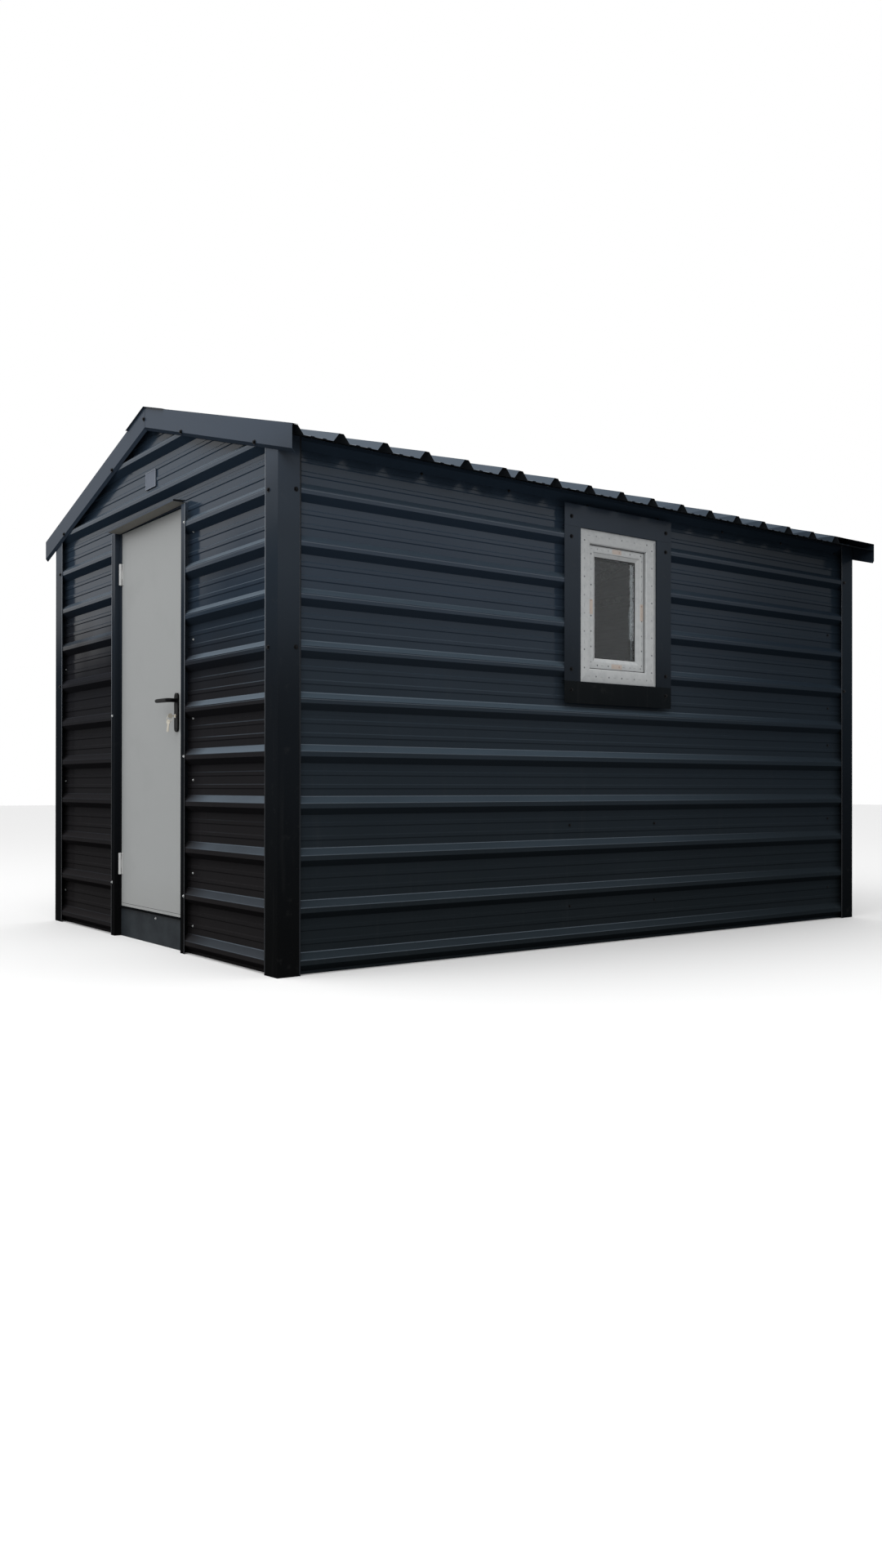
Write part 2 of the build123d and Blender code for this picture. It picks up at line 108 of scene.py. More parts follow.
# %% [markdown]
# ## The camera
# A photograph of a building has many straight edges of known direction, so its camera can be worked out.
# Here it stood just right of the front corner, 0.7 m above the ground, and looked level. The focal length
# was found in pixels of the upright frame, so the sensor is fitted to the frame's height.

# %% Stand the camera where the photograph was taken
photo_height_px = 1920
focal_px = 1468.0
from_corner = Vector((3.979, -2.2065, 0.722))
yaw, pitch, roll = 0.92911, 0.00225, 0.00136

camera_data = bpy.data.cameras.new("photo_view")
camera_data.sensor_fit = "VERTICAL"
camera_data.sensor_height = 36.0
camera_data.lens = focal_px / photo_height_px * camera_data.sensor_height
camera = bpy.data.objects.new("photo_view", camera_data)
upright = Matrix.Rotation(math.pi / 2 + pitch, 4, "X")
turn = Matrix.Rotation(yaw, 4, "Z") @ upright @ Matrix.Rotation(roll, 4, "Z")
corner_foot = Vector((wall_right, wall_front, 0))
camera.matrix_world = Matrix.Translation(corner_foot + from_corner) @ turn
bpy.context.scene.collection.objects.link(camera)
bpy.context.scene.camera = camera
print("lens", round(camera_data.lens, 2), "mm at", [round(v, 3) for v in camera.matrix_world.translation])

# %% [markdown]
# ## Sums on shader sockets
# A finish is mostly sums on a few masks: how high a point is, how dusty, whether it faces out. Written as
# nodes, such sums are long and hard to read, so a small class wraps a socket and lets Python's own
# operators add the Math nodes. Any other node comes from one method, which sets the node's settings first
# and then its sockets.


# %% A socket that takes part in sums
class Flow:
    """An output socket of a node tree, which takes part in Python sums."""

    def __init__(self, graph, socket):
        self.graph, self.socket = graph, socket

    def sum(self, operation, first, second=0.0, clamp=False):
        settings = {"operation": operation, "use_clamp": clamp}
        return self.graph.node("ShaderNodeMath", settings, {0: first, 1: second})

    def __add__(self, other):
        return self.sum("ADD", self, other)

    def __sub__(self, other):
        return self.sum("SUBTRACT", self, other)

    def __rsub__(self, other):
        return self.sum("SUBTRACT", other, self)

    def __mul__(self, other):
        return self.sum("MULTIPLY", self, other)

    def __truediv__(self, other):
        return self.sum("DIVIDE", self, other)

    def __gt__(self, other):
        return self.sum("GREATER_THAN", self, other)

    def __lt__(self, other):
        return self.sum("LESS_THAN", self, other)

    def __and__(self, other):
        return self.sum("MULTIPLY", self, other)

    def __or__(self, other):
        return self.sum("MAXIMUM", self, other)

    def __abs__(self):
        return self.sum("ABSOLUTE", self)

    def __mod__(self, other):
        return self.sum("FLOORED_MODULO", self, other)

    def clamped(self):
        """The value, held between 0 and 1."""
        return self.sum("ADD", self, 0.0, clamp=True)

    def ramp(self, low, high):
        """A smooth step from 0 at low to 1 at high."""
        sockets = {"Value": self, "From Min": low, "From Max": high}
        return self.graph.node("ShaderNodeMapRange", {"interpolation_type": "SMOOTHSTEP"}, sockets)


# %% A node tree that makes any node
class Graph:
    """The node tree of a material or a world."""

    def __init__(self, tree):
        self.tree = tree

    def feed(self, socket, value):
        if isinstance(value, Flow):
            self.tree.links.new(value.socket, socket)
        else:
            socket.default_value = value

    def node(self, kind, settings=None, sockets=None, out=0):
        """Adds a node of a type, with its settings and then the values or links of its sockets."""
        node = self.tree.nodes.new(kind)
        for name, value in (settings or {}).items():
            setattr(node, name, value)
        for name, value in (sockets or {}).items():
            self.feed(node.inputs[name], value)
        return Flow(self, node.outputs[out]) if node.outputs else None

    def mix(self, first, second, share):
        """A colour between two colours."""
        settings = {"data_type": "RGBA"}
        return self.node("ShaderNodeMix", settings, {"Factor": share, 6: first, 7: second}, out=2)

    def where(self):
        """The x, y and z of a point, in metres in the shed's own frame."""
        place = self.node("ShaderNodeTexCoord", out="Object")
        return [self.node("ShaderNodeSeparateXYZ", None, {0: place}, out=axis) for axis in range(3)]

    def facing(self):
        """The x, y and z of the surface's outward direction."""
        normal = self.node("ShaderNodeNewGeometry", out="True Normal")
        return [self.node("ShaderNodeSeparateXYZ", None, {0: normal}, out=axis) for axis in range(3)]

    def noise(self, size, stretch=(1, 1, 1), detail=3.0):
        """Smooth noise from 0 to 1. The size of its lumps is in metres, and stretch draws them out."""
        place = self.node("ShaderNodeTexCoord", out="Object")
        scale = [1 / (size * s) for s in stretch]
        spot = self.node("ShaderNodeVectorMath", {"operation": "MULTIPLY"}, {0: place, 1: scale})
        sockets = {"Vector": spot, "Scale": 1.0, "Detail": detail, "Roughness": 0.55}
        return self.node("ShaderNodeTexNoise", None, sockets)


# %% A material under construction
class Finish(Graph):
    """A procedural material: one Principled shader and the nodes that feed it."""

    def __init__(self, name):
        self.material = bpy.data.materials.new(name)
        self.material.use_nodes = True
        super().__init__(self.material.node_tree)
        self.shader = self.tree.nodes["Principled BSDF"]

    def surface(self, **sockets):
        """Sets or links the shader's sockets. A double word is written with an underscore."""
        for name, value in sockets.items():
            self.feed(self.shader.inputs[name.replace("_", " ")], value)

    def relief(self, height, depth):
        """Raises the surface by height times depth, in metres, in the shading alone."""
        self.surface(Normal=self.node("ShaderNodeBump", None, {"Height": height, "Distance": depth}))


def paint(red, green, blue):
    """A colour as read off a chart, 0 to 255, turned into the linear one that a shader takes."""
    linear = [((c / 255 + 0.055) / 1.055) ** 2.4 if c > 10 else c / 255 / 12.92 for c in (red, green, blue)]
    return (*linear, 1.0)


# %% [markdown]
# ## The studio
# The light is soft and even: a glow from all round, brighter from above, and two large soft lamps. The glow
# is what brings out the ribs, because their webs face up and down. Camera rays, and those that polished
# things and glass send on, see plain white, so the background is white without any more light on the shed.
# The floor is a plain pale sheet that keeps the shadow.

# %% The rays that see the plain background
def background_rays(graph):
    """The mask of rays from the camera, or from polished things and glass."""
    kinds = ("Camera", "Glossy", "Transmission")
    camera_ray, glossy_ray, transmission_ray = (
        graph.node("ShaderNodeLightPath", out=f"Is {kind} Ray") for kind in kinds
    )
    return camera_ray | glossy_ray | transmission_ray


# %% The world's glow
glow_low, glow_high = 0.20, 1.30
glow_start, glow_end = -0.1, 1.0
white = (1, 1, 1, 1)
world = bpy.data.worlds.new("studio")
bpy.context.scene.world = world
world.use_nodes = True
world.node_tree.nodes.clear()
around = Graph(world.node_tree)
shown = background_rays(around)
direction = around.node("ShaderNodeTexCoord", out="Generated")
upward = around.node("ShaderNodeSeparateXYZ", None, {0: direction}, out=2)
glow = upward.ramp(glow_start, glow_end) * (glow_high - glow_low) + glow_low
soft = around.node("ShaderNodeBackground", None, {"Color": white, "Strength": glow})
plain = around.node("ShaderNodeBackground", None, {"Color": white, "Strength": 1.0})
both = around.node("ShaderNodeMixShader", None, {0: shown, 1: soft, 2: plain})
around.node("ShaderNodeOutputWorld", None, {0: both})
print("world nodes", len(world.node_tree.nodes))


# %% Two soft lamps
def lamp(name, place, target, size, power):
    """A square soft lamp that points at a target."""
    data = bpy.data.lights.new(name, "AREA")
    data.shape = "SQUARE"
    data.size = size
    data.energy = power
    holder = bpy.data.objects.new(name, data)
    aim = (Vector(target) - Vector(place)).to_track_quat("-Z", "Y").to_matrix().to_4x4()
    holder.matrix_world = Matrix.Translation(place) @ aim
    bpy.context.scene.collection.objects.link(holder)


lamp_target = (0.5, -0.5, 1.2)
lamp("overhead_lamp", (1.0, -4.5, 7.5), lamp_target, size=6.0, power=240)
lamp("corner_lamp", (8.0, -6.0, 4.5), lamp_target, size=4.0, power=200)

# %% The floor
floor_reach = 40.0
floor = bpy.data.objects.new("floor", bpy.data.meshes.new("floor"))
corners = [(x * floor_reach, y * floor_reach, 0) for x, y in ((-1, -1), (1, -1), (1, 1), (-1, 1))]
floor.data.from_pydata(corners, [], [(0, 1, 2, 3)])
pale = Finish("pale_floor")
shown = background_rays(pale)
pale.surface(Base_Color=pale.mix(paint(110, 110, 110), paint(236, 236, 236), shown), Roughness=0.9)
floor.data.materials.append(pale.material)
bpy.context.scene.collection.objects.link(floor)

# %% [markdown]
# ## The coated sheet
# Ribbed cladding is thin steel with a dark blue-grey coating outside and a pale backing coat inside. One
# sheet is both, so the finish asks which way a face looks: a wall's face looks out where it points away
# from the shed's middle, a roof's where it points up. The coating is dark and dull low down, a painted shade.
# Higher up it is paler, a painted light, and a thin gloss mirrors the studio. A painted highlight lies on the
# ribs' upper webs, with faint streaks and specks over all. The gable walls have a painted reflection low
# down, and the rear part of the side walls a painted shade.
#
# The numbers in the ramps are heights and places in metres.

# %% The coating's colours
# Painted light and shade: each row of tones runs from a dark foot to a pale top.
sheet_shades = paint(29, 35, 39), paint(45, 53, 61), paint(46, 58, 72), paint(52, 66, 81)
trim_shades = paint(8, 9, 10), paint(27, 31, 36), paint(41, 49, 58), paint(63, 74, 88)
# The sill's tones are a darker copy of the trims', a painted shade.
sill_shaded_tones = paint(8, 9, 10), paint(17, 20, 22), paint(20, 24, 27), paint(30, 35, 40)
# A painted highlight on the ribs' upper webs.
web_highlight = paint(66, 78, 88)
dust = paint(70, 70, 70)
backing, worn_backing = paint(150, 152, 150), paint(128, 130, 130)
# A painted highlight for the bends and the front webs.
bend_highlight = paint(104, 114, 124)
# Painted shade for the side walls' rear part.
rear_shade = paint(24, 32, 39)
# A painted reflection: the warmer tone low on the gable walls.
front_shade = paint(36, 32, 32)
# Painted shade for the backing under the eaves.
under_eaves = paint(50, 54, 58)

# %% The sheet's measures, in metres
first_bend, last_bend, rib_pitch, bend_line = 0.0575, 0.084, 0.2, 0.0016
# How far in from the crest plane a sheet reaches, and where the side walls and the eaves are.
sheet_depth = 0.045
side_inner, side_outer = 1.17, 1.2
eaves_z = 2.06
# Between these x the front wall's painted highlights and bright lines grow towards the near corner.
by_corner_x = 0.35, 0.65


def rear_part(finish):
    """The mask of the side walls' rear part, which gets painted shade and less of the painted highlight."""
    x, y, z = finish.where()
    return y.ramp(-0.4, 1.6) * (abs(x) > side_inner) * (z < eaves_z)


def coating(finish, shades, is_sheet=False):
    """Gives the outdoor coating's colour, roughness and gloss: dark and dull low down, paler high up, with painted
    light and shade.
    """
    foot, middle, high, top = shades
    x, y, z = finish.where()
    z = z + finish.noise(0.6) * 0.3 - 0.15
    along, upward = finish.facing()[1:]
    gable_face = ((y < wall_front + sheet_depth) + (y > wall_back - sheet_depth)) * (abs(along) > 0.5)
    gable_wall = gable_face * is_sheet

    # The ground tone goes by height, a painted light and shade: darker low down, paler high up. Low down, the
    # gable walls have a warmer one, a painted reflection.
    low = 1 - z.ramp(0.0, 1.3)
    cloud = finish.noise(0.35, detail=4.0)
    base = finish.mix(middle, high, z.ramp(0.95, 1.75))
    base = finish.mix(base, top, z.ramp(1.7, 2.15))
    base = finish.mix(base, foot, low)
    base = finish.mix(base, front_shade, gable_wall * (1 - (z + x * 0.2).ramp(1.2, 1.6)) * 0.75)

    # A painted highlight lies in patches on what faces up, most of all halfway up the walls and towards the near
    # corner.
    patchy = finish.noise(0.12, stretch=(3, 3, 1), detail=4.0) * 0.4 + 0.6
    rear = rear_part(finish)
    on_web = z.ramp(0.1, 1.0) * 0.55 + 0.22 - z.ramp(1.3, 1.8) * 0.4
    highlight_share = upward.ramp(0.55, 0.8) * on_web + upward.ramp(0.2, 0.5) * z.ramp(0.4, 1.2) * 0.4
    highlight_share = highlight_share * (1 - rear)
    by_corner = x.ramp(*by_corner_x) * 1.5 + z.ramp(1.3, 1.7)
    highlight_share = highlight_share * (1 - gable_wall + gable_wall * by_corner)
    highlight_colour = finish.mix(web_highlight, bend_highlight, gable_wall * 0.6)
    base = finish.mix(base, highlight_colour, (highlight_share * patchy).clamped())

    # Streaks and specks lie over all, and the side walls' rear part is darker, a painted shade.
    streak = finish.noise(0.03, stretch=(1, 1, 14), detail=5.0).ramp(0.55, 0.8)
    specks = finish.noise(0.006, detail=2.0).ramp(0.64, 0.74)
    grime = (streak * 0.07 + specks * 0.07 + low * cloud * 0.06).clamped()
    shaded = rear * z.ramp(0.2, 1.8) * 0.6 + rear * 0.15
    colour = finish.mix(finish.mix(base, dust, grime), rear_shade, shaded)

    # The gloss grows with height, and on what faces down there is none.
    side_gloss = z.ramp(0.9, 2.0) * 0.45 + upward.ramp(0.55, 0.8) * z.ramp(0.0, 0.9) * 0.14
    onset = 1.35 if is_sheet else 1.45
    gable_gloss = (z - x * 0.12).ramp(onset, onset + 0.37) * 0.5
    gloss = side_gloss * (1 - gable_face) + gable_gloss * gable_face + 0.02
    gloss = gloss * upward.ramp(-0.5, -0.05) * (1 - rear * 0.7)
    return colour, cloud * 0.1 + grime * 0.5 + 0.45, gloss


def at_bend(z, bend):
    """The mask of a thin line that repeats at one bend of each rib."""
    return abs((z - bend + rib_pitch / 2) % rib_pitch - rib_pitch / 2) < bend_line


def bright_bends(finish):
    """The mask of the painted highlight: thin lines at the two bends of each wall rib's upper web."""
    x, y, z = finish.where()
    lines = at_bend(z, first_bend) * 0.4 + at_bend(z, last_bend) * (1 - z.ramp(1.2, 1.7)) * 0.55
    left_front = (y < wall_front + sheet_depth) * (1 - x.ramp(*by_corner_x)) * (1 - z.ramp(1.3, 1.7))
    return lines * (1 - rear_part(finish)) * (1 - left_front * 0.85)


def sheet_finish(name, outside, bends=None):
    """A ribbed sheet's finish. Outside gives the mask of its outer faces, and bends that of painted bright lines.
    """
    finish = Finish(name)
    colour, roughness, gloss = coating(finish, sheet_shades, is_sheet=True)
    if bends:
        colour = finish.mix(colour, bend_highlight, bends(finish))
    out = outside(finish)
    inside = finish.mix(backing, worn_backing, finish.noise(0.2))
    # Under the eaves the back of the sheet is darker, a painted shade.
    overhang = abs(finish.where()[0]).ramp(side_inner, side_outer)
    inside = finish.mix(inside, under_eaves, overhang)
    finish.surface(Base_Color=finish.mix(inside, colour, out), Roughness=roughness * out + (1 - out) * 0.6)
    finish.surface(Specular_IOR_Level=0.0, Coat_Weight=gloss * out, Coat_Roughness=0.14)
    finish.relief(finish.noise(0.25, detail=2.0), 0.0015)
    return finish.material


def faces_away(finish):
    """The mask of faces that point away from the shed's middle, in plan."""
    x, y = finish.where()[:2]
    across, along = finish.facing()[:2]
    return (x * across + y * along) > 0.02


wall_coat = sheet_finish("wall_coating", faces_away, bright_bends)
roof_coat = sheet_finish("roof_coating", lambda finish: finish.facing()[2] > 0.02)


# %% The trims and the door frame
def trim_finish(name, share_of_dust=0.1, pale_under=False, shades=trim_shades):
    """A folded trim's finish. The trim over the door shows its pale back from below."""
    finish = Finish(name)
    colour, roughness, gloss = coating(finish, shades)
    worn = finish.noise(0.05, detail=6.0).ramp(0.6, 0.75) * share_of_dust
    coated = finish.mix(colour, dust, worn)
    if pale_under:
        coated = finish.mix(paint(150, 148, 142), coated, finish.facing()[2].ramp(-0.7, -0.5))
    finish.surface(Base_Color=coated, Roughness=roughness)
    finish.surface(Specular_IOR_Level=0.0, Coat_Weight=gloss * 0.6, Coat_Roughness=0.2)
    finish.relief(finish.noise(0.3, detail=2.0), 0.001)
    return finish.material


trim_coat = trim_finish("trim_coating")
frame_coat = trim_finish("door_frame_coating", 0.05)
head_coat = trim_finish("head_trim_coating", pale_under=True)
# The sill trim takes the darker tones, a painted shade.
sill_coat = trim_finish("sill_trim_coating", shades=sill_shaded_tones)

# %% The folded edges, with a painted highlight along the bend
edge_coat = Finish("folded_edge")
height = edge_coat.where()[2] + edge_coat.noise(0.2) * 0.2
# Higher up, on the faces towards the gables, the bend gets a painted highlight.
hem_highlight = height.ramp(0.9, 1.6) * (abs(edge_coat.facing()[1]) > 0.5)
edge_coat.surface(Base_Color=edge_coat.mix(paint(26, 29, 33), paint(118, 124, 132), hem_highlight))
edge_coat.surface(Roughness=edge_coat.noise(0.05) * 0.2 + 0.35, Specular_IOR_Level=0.1)

# %% [markdown]
# ## The frame's box section
# Inside, the sheets hang on galvanised box section. Zinc freezes into flat crystals, the spangle, that each
# catch the light a little differently. Voronoi cells of a centimetre or two, with a random grey for each,
# give that, and a cloud of dull oxide over them takes the newness off.

# %% Galvanised steel
zinc = Finish("galvanised_steel")
place = zinc.node("ShaderNodeTexCoord", out="Object")
cells = zinc.node("ShaderNodeTexVoronoi", None, {"Vector": place, "Scale": 70.0}, out="Color")
spangle = zinc.node("ShaderNodeSeparateXYZ", None, {0: cells}, out=0)
oxide = zinc.noise(0.08, detail=5.0).ramp(0.4, 0.75)
bright = zinc.mix(paint(150, 154, 156), paint(178, 182, 184), spangle)
zinc.surface(Base_Color=zinc.mix(bright, paint(128, 130, 130), oxide * 0.7))
zinc.surface(Metallic=0.75 - oxide * 0.35, Roughness=spangle * 0.1 + oxide * 0.2 + 0.38)

# %% [markdown]
# ## The plain finishes
# The door's skin is smooth painted steel, with the faint orange peel of a roller coat and a little dirt
# near the ground. The handle is black powder coat, the hinges are white, the lock is nickel, and the seals
# are rubber. Each is a few numbers and one or two noises, because at this scale that is all there is to
# see.


# %% One function for the plain finishes
def plain_finish(name, colour, shade, roughness, grain, depth, metallic=0.0, gloss=0.5):
    """A finish of two near colours that mix in clouds, with a fine relief of a grain in metres."""
    finish = Finish(name)
    cloud = finish.noise(0.12, detail=4.0).ramp(0.35, 0.75)
    finish.surface(Base_Color=finish.mix(paint(*colour), paint(*shade), cloud))
    finish.surface(Roughness=cloud * 0.08 + roughness, Metallic=metallic, Specular_IOR_Level=gloss)
    finish.relief(finish.noise(grain, detail=2.0), depth)
    return finish.material


handle_black = plain_finish("black_powder_coat", (5, 5, 6), (8, 8, 9), 0.42, 0.0008, 5e-5, gloss=0.06)
hinge_white = plain_finish("hinge_enamel", (196, 197, 196), (184, 185, 184), 0.35, 0.002, 3e-5)
nickel = plain_finish("nickel_plate", (188, 184, 172), (168, 164, 154), 0.25, 0.001, 2e-5, 1.0)
key_metal = plain_finish("key_metal", (206, 200, 186), (186, 180, 166), 0.4, 0.001, 2e-5, 0.5)
# The window catch is a dull grey, a painted shade for the room behind the pane.
catch_shade_grey = plain_finish("catch_shaded_grey", (120, 122, 122), (108, 110, 110), 0.5, 0.002, 3e-5, gloss=0.2)
bare_zinc = plain_finish("zinc_plate", (186, 188, 188), (150, 152, 152), 0.32, 0.001, 2e-5, 1.0)
dark_head = plain_finish("coated_screw_head", (6, 7, 9), (10, 11, 14), 0.4, 0.001, 2e-5, gloss=0.1)
rubber = plain_finish("black_rubber", (16, 16, 17), (24, 24, 25), 0.7, 0.002, 5e-5)
badge_plain = plain_finish("bare_badge_plate", (104, 112, 125), (96, 104, 116), 0.4, 0.003, 4e-5, gloss=0.1)
badge_rim = plain_finish("badge_rim_plate", (132, 140, 152), (120, 128, 140), 0.4, 0.003, 4e-5, gloss=0.2)
kick_coat = plain_finish("kick_plate_coating", (50, 55, 59), (42, 46, 50), 0.5, 0.004, 4e-5, gloss=0.03)

# %% The door's skin
skin = Finish("door_skin")
height = skin.where()[2] + skin.noise(0.15) * 0.12
foot = 1 - height.ramp(0.16, 0.42)
smear = skin.noise(0.22, detail=3.0).ramp(0.5, 0.8)
clean = skin.mix(paint(157, 160, 160), paint(152, 155, 155), skin.noise(0.8))
dirty = skin.mix(clean, paint(134, 134, 130), (foot * 0.3 + smear * 0.05).clamped())
skin.surface(Base_Color=dirty, Roughness=smear * 0.1 + 0.38)
skin.relief(skin.noise(0.004, detail=2.0), 2e-5)

# %% [markdown]
# ## Glass
# The pane is one clear block in the model. A transmitting shader shows the dark room behind it and mirrors
# the pale studio at a slant, which is how a window looks from outside by day. The index is a little under
# that of glass, because the white studio is brighter than what a real window has to mirror.

# %% The pane
pane_tint = (0.82, 0.9, 0.94, 1.0)
glass = Finish("window_glass")
glass.surface(Base_Color=pane_tint, Transmission_Weight=1.0, IOR=1.33)
glass.surface(Roughness=glass.noise(0.12, detail=2.0).ramp(0.5, 0.9) * 0.02)

# %% [markdown]
# ## White plastic in its film
# The window is new, and still wears its protective film. The film is printed all round with small grey
# marks. Here they are plain dots and dashes: a pattern that repeats along each side, near the middle line
# of the bar, and fades in places as a rubbed film does. Four peach-coloured stickers sit on the sash. What
# shows through the pane has no film, and is painted a dull grey, a painted shade for the room behind it.

# %% Where the window is
window_low, window_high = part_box("window_frame")
sash_low, sash_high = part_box("window_sash")
sash_middle = (sash_low + sash_high) / 2
pane_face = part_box("window_glass")[1].x
sticker_colour = paint(190, 164, 144)
# A painted shade for the plastic behind the pane.
room_shade_grey = paint(120, 122, 122)
dot_at, dot_radius = 0.25, 0.0042
dash_at, dash_half, dash_width = 0.68, 0.11, 0.0011


def film_marks(finish, low, high, line, repeat):
    """The mask of small marks along a frame's bars, on a line in from the frame's outer edge."""
    x, y, z = finish.where()
    in_y = (high.y - low.y) / 2 - abs(y - (low.y + high.y) / 2)
    in_z = (high.z - low.z) / 2 - abs(z - (low.z + high.z) / 2)
    upright = in_y < in_z
    inset = upright * in_y + (1 - upright) * in_z
    along = upright * z + (1 - upright) * y
    step = (along / repeat) % 1.0
    off_dot, off_line = (step - dot_at) * repeat, inset - line
    dot = (off_dot * off_dot + off_line * off_line) < dot_radius**2
    dash = (abs(step - dash_at) < dash_half) & (abs(off_line) < dash_width)
    faded = finish.noise(0.05, detail=2.0).ramp(0.35, 0.6) * 0.6 + 0.4
    return (dot | (dash * 0.55)) * faded


def film_finish(name, low, high, line, repeat, stickers=()):
    """White plastic under printed film. Stickers are (y, z) middles with half sizes."""
    finish = Finish(name)
    cloud = finish.noise(0.03, detail=4.0)
    colour = finish.mix(paint(186, 189, 190), paint(177, 180, 182), cloud.ramp(0.4, 0.7))
    colour = finish.mix(colour, paint(70, 74, 80), film_marks(finish, low, high, line, repeat) * 0.85)
    x, y, z = finish.where()
    for middle_y, middle_z, half_y, half_z in stickers:
        patch = (abs(y - middle_y) < half_y) & (abs(z - middle_z) < half_z)
        colour = finish.mix(colour, sticker_colour, patch * 0.6)
    # Behind the pane the plastic is painted a dull grey, a painted shade.
    behind_pane = x < pane_face
    colour = finish.mix(colour, room_shade_grey, behind_pane)
    finish.surface(Base_Color=colour, Roughness=cloud * 0.1 + behind_pane * 0.6 + 0.16)
    finish.surface(Coat_Weight=(1 - behind_pane) * 0.3)
    finish.relief(finish.noise(0.02, detail=3.0), 0.0004)
    return finish.material


frame_film = film_finish("frame_film", window_low, window_high, 0.028, 0.083)
sash_inset = 0.017
stickers = [
    (sash_middle.y, sash_high.z - sash_inset, 0.030, 0.011),
    (sash_middle.y, sash_low.z + sash_inset, 0.034, 0.011),
    (sash_low.y + sash_inset, sash_middle.z, 0.011, 0.034),
    (sash_high.y - sash_inset, sash_middle.z, 0.011, 0.040),
]
sash_film = film_finish("sash_film", sash_low, sash_high, sash_inset, 0.071, stickers)

# %% [markdown]
# ## Give each node its finish
# The record lists the material slot of each node, so one table from slot to finish dresses the whole model.
# A node's material is set on its slots, and its mesh isn't touched.

# %% Dress the nodes
finish_of_slot = {
    "wall_steel": wall_coat,
    "roof_steel": roof_coat,
    "trim_steel": trim_coat,
    "frame_steel": zinc.material,
    "window_plastic": frame_film,
    "window_pane": glass.material,
    "door_frame_paint": frame_coat,
    "door_panel": skin.material,
    "handle_black": handle_black,
    "hinge_white": hinge_white,
    "lock_metal": nickel,
    "badge": badge_plain,
}
finish_of_node = {"kick_plate": kick_coat, "door_head_trim": head_coat, "window_sill_trim": sill_coat}
slot_of_node = {row["node"]: row["material_slot"] for row in frame["record"]["subparts"]}
for name, node in frame["nodes"].items():
    finish = finish_of_node.get(name, finish_of_slot[slot_of_node[name]])
    if node.material_slots:
        for holder in node.material_slots:
            holder.material = finish
    else:
        node.data.materials.append(finish)
print("dressed", len(frame["nodes"]), "nodes")

# %% [markdown]
# ## Tools for small pieces
# New pieces are built in a bmesh and put on a body by one function. Four shapes cover them all: a turned
# shape from an outline and a number of sides, a block with softened edges, a mitred ring round a window,
# and a loft of ovals along a path. A screw is two turned shapes, its washer and its head.


# %% Put a piece on a body
def put(name, shape, body, finish, stands_for=(), smooth=None):
    """Turns a bmesh into a piece that rides on a body. Smooth is the angle under which edges shade round."""
    bmesh.ops.recalc_face_normals(shape, faces=shape.faces)
    mesh = bpy.data.meshes.new(name)
    shape.to_mesh(mesh)
    shape.free()
    mesh.materials.append(finish)
    if smooth:
        mesh.shade_smooth()
        mesh.set_sharp_from_angle(angle=math.radians(smooth))
    piece = bpy.data.objects.new(name, mesh)
    bpy.context.scene.collection.objects.link(piece)
    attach(piece, body)
    if stands_for:
        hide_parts(*stands_for)
    print(name, len(mesh.polygons), "faces")


# %% Turned shapes
def turned(shape, at, axis, outline, sides=16, start=0.0):
    """Turns an outline of (radius, height) points in mm about an axis through a point."""
    axis = Vector(axis).normalized()
    across = axis.orthogonal().normalized()
    beside = axis.cross(across)
    rings = []
    for radius, height in outline:
        ring = []
        for k in range(sides):
            angle = start + 2 * math.pi * k / sides
            arm = (across * math.cos(angle) + beside * math.sin(angle)) * radius
            ring.append(shape.verts.new(at + (arm + axis * height) * MM))
        rings.append(ring)
    for low, high in zip(rings, rings[1:]):
        for k in range(sides):
            shape.faces.new((low[k], low[k - 1], high[k - 1], high[k]))
    shape.faces.new(rings[0])
    shape.faces.new(rings[-1][::-1])


# %% Blocks with softened edges
def block(shape, corner, opposite, soft=0.0):
    """A block between two corners in metres, with its edges rounded by soft, in mm."""
    middle = (Vector(corner) + Vector(opposite)) / 2
    size = [abs(a - b) for a, b in zip(corner, opposite)]
    place = Matrix.Translation(middle) @ Matrix.Diagonal((*size, 1))
    made = bmesh.ops.create_cube(shape, size=1.0, matrix=place)
    if soft:
        edges = list({edge for vert in made["verts"] for edge in vert.link_edges})
        bmesh.ops.bevel(shape, geom=edges, offset=soft * MM, segments=2, affect="EDGES", profile=0.5)


def wall_block(shape, wall, along, depths, levels, soft=0.0):
    """A softened block given by its place on a wall."""
    corner, opposite = (on_wall(wall, along[end], depths[end], levels[end]) for end in (0, 1))
    block(shape, corner, opposite, soft)


# %% Mitred rings
def mitred_ring(shape, wall, span, levels, outline, joint=0.15):
    """Four mitred bars round a rectangle, with a hairline joint. The outline's points are (inset, depth)."""
    ends = [(0, 0), (1, 0), (1, 1), (0, 1)]
    for k in range(4):
        loops = []
        for here, there in ((ends[k], ends[k - 1]), (ends[k - 1], ends[k])):
            loop = []
            for inset, depth in outline:
                spot = [pair[e] + (inset if e == 0 else -inset) for pair, e in zip((span, levels), here)]
                spot = [s + joint * (t - h) for s, h, t in zip(spot, here, there)]
                loop.append(shape.verts.new(on_wall(wall, spot[0], depth, spot[1])))
            loops.append(loop)
        first, second = loops
        for i in range(len(outline)):
            shape.faces.new((first[i - 1], first[i], second[i], second[i - 1]))
        shape.faces.new(first)
        shape.faces.new(second[::-1])


